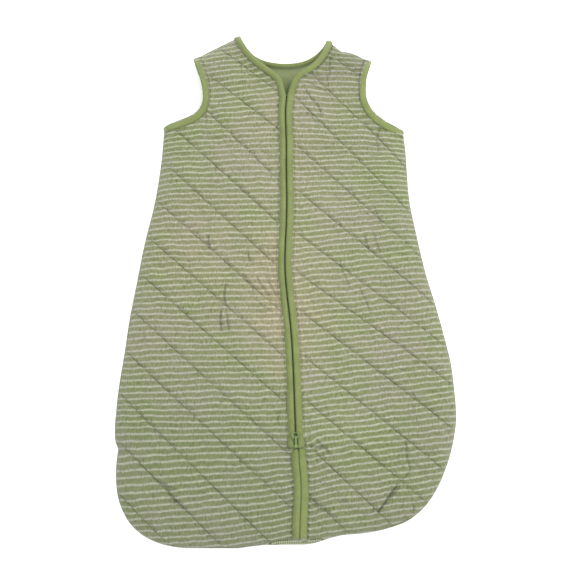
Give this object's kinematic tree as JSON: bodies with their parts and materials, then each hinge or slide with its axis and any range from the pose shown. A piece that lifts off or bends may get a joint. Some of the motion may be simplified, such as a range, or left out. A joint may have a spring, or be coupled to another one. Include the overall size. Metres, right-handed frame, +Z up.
{
  "type": "baby sleeping bag",
  "caption": "Sleeveless quilted baby sleeping bag with striped outer cloth, plain bindings and a full-length front zip with slider and pull tab, laid flat.",
  "frame": {"origin": "under the middle of the bag's outer box, on the surface it lies on", "axes": "+X to the right across the bag as seen from above with the neck away, +Y from the foot towards the neck, +Z up from the back panel to the front"},
  "size_m": [0.3936, 0.618, 0.031],
  "materials": {
    "striped_cloth": "fine cotton jersey with cream and heather green stripes",
    "wadding": "white polyester wadding",
    "lining_cloth": "plain green cotton jersey",
    "binding_cloth": "plain green jersey tape, folded and stitched",
    "thread": "light green sewing thread",
    "zip_tape": "woven green tape",
    "zip_plastic": "moulded green plastic",
    "slider_paint": "green enamel",
    "spring_steel": "bare spring steel",
    "label_cloth": "blank white satin label"
  },
  "bodies": {
    "bag": {"back_outer": "striped_cloth", "back_wadding": "wadding", "back_lining": "lining_cloth", "front_left_outer": "striped_cloth", "front_left_wadding": "wadding", "front_left_lining": "lining_cloth", "front_right_outer": "striped_cloth", "front_right_wadding": "wadding", "front_right_lining": "lining_cloth", "quilting_thread_back": "thread", "quilting_thread_left": "thread", "quilting_thread_right": "thread", "neck_binding": "binding_cloth", "armhole_binding_left": "binding_cloth", "armhole_binding_right": "binding_cloth", "zip_binding_left": "binding_cloth", "zip_binding_right": "binding_cloth", "zip_tape_left": "zip_tape", "zip_tape_right": "zip_tape", "zip_teeth_left": "zip_plastic", "zip_teeth_right": "zip_plastic", "zip_top_stops": "zip_plastic", "zip_bottom_stop": "zip_plastic", "foot_seam": "thread", "care_label": "label_cloth"},
    "slider": {"slider_body": "slider_paint", "slider_bridge": "slider_paint", "slider_lock_spring": "spring_steel"},
    "pull_tab": {"pull_tab": "slider_paint"}
  },
  "joints": [
    {"name": "zip_slide", "type": "slide", "parent": "bag", "child": "slider", "axis": [-0.0349, 0.9994, 0], "range_m": [-0.0965, 0.402]},
    {"name": "pull_tab_flip", "type": "hinge", "parent": "slider", "child": "pull_tab", "pos_m": [0.01098, -0.18657, 0.02933], "axis": [-0.9994, -0.0349, 0], "range_deg": [0, 165]}
  ]
}
